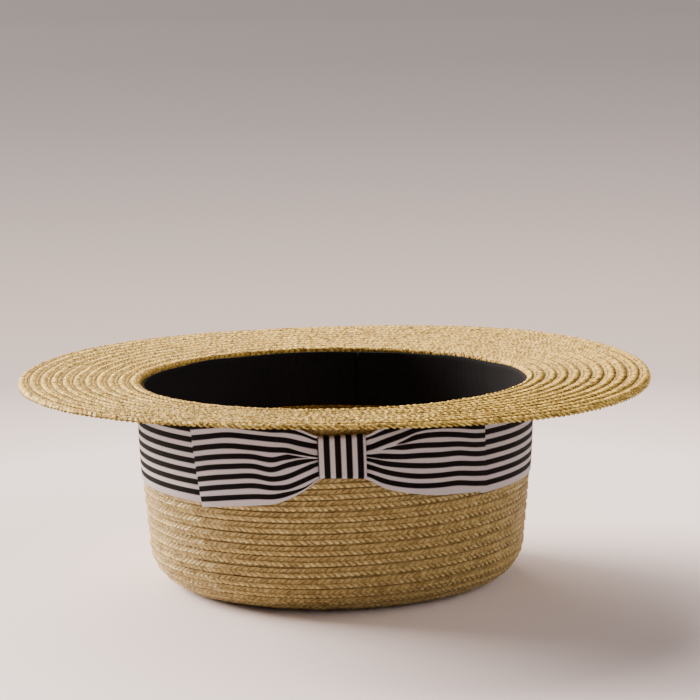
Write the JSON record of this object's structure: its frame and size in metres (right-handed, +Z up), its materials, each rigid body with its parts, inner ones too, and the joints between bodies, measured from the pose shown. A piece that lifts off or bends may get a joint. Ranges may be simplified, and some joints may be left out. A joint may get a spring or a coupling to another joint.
{
  "type": "straw boater hat",
  "caption": "Flat-crowned straw hat with a stiff wide brim, a dark inner band, a striped ribbon and a flat side bow, lying on its crown.",
  "frame": {"origin": "on the ground under the middle of the hat, which lies on the flat tip of its crown", "axes": "+X along the long axis of the head hollow, +Z up out of the head hollow, the bow faces -Y"},
  "size_m": [0.3212, 0.2929, 0.1092],
  "materials": {
    "straw_braid": "glossy golden straw, plaited and sewn in overlapping rows",
    "dark_band": "dull black ribbed cloth",
    "striped_ribbon": "off-white grosgrain ribbon with eight lengthwise black stripes"
  },
  "bodies": {
    "root": {"crown": "straw_braid", "brim": "straw_braid", "sweatband": "dark_band", "ribbon_band": "striped_ribbon", "bow_loop_left": "striped_ribbon", "bow_loop_right": "striped_ribbon", "bow_knot": "striped_ribbon"}
  },
  "joints": []
}
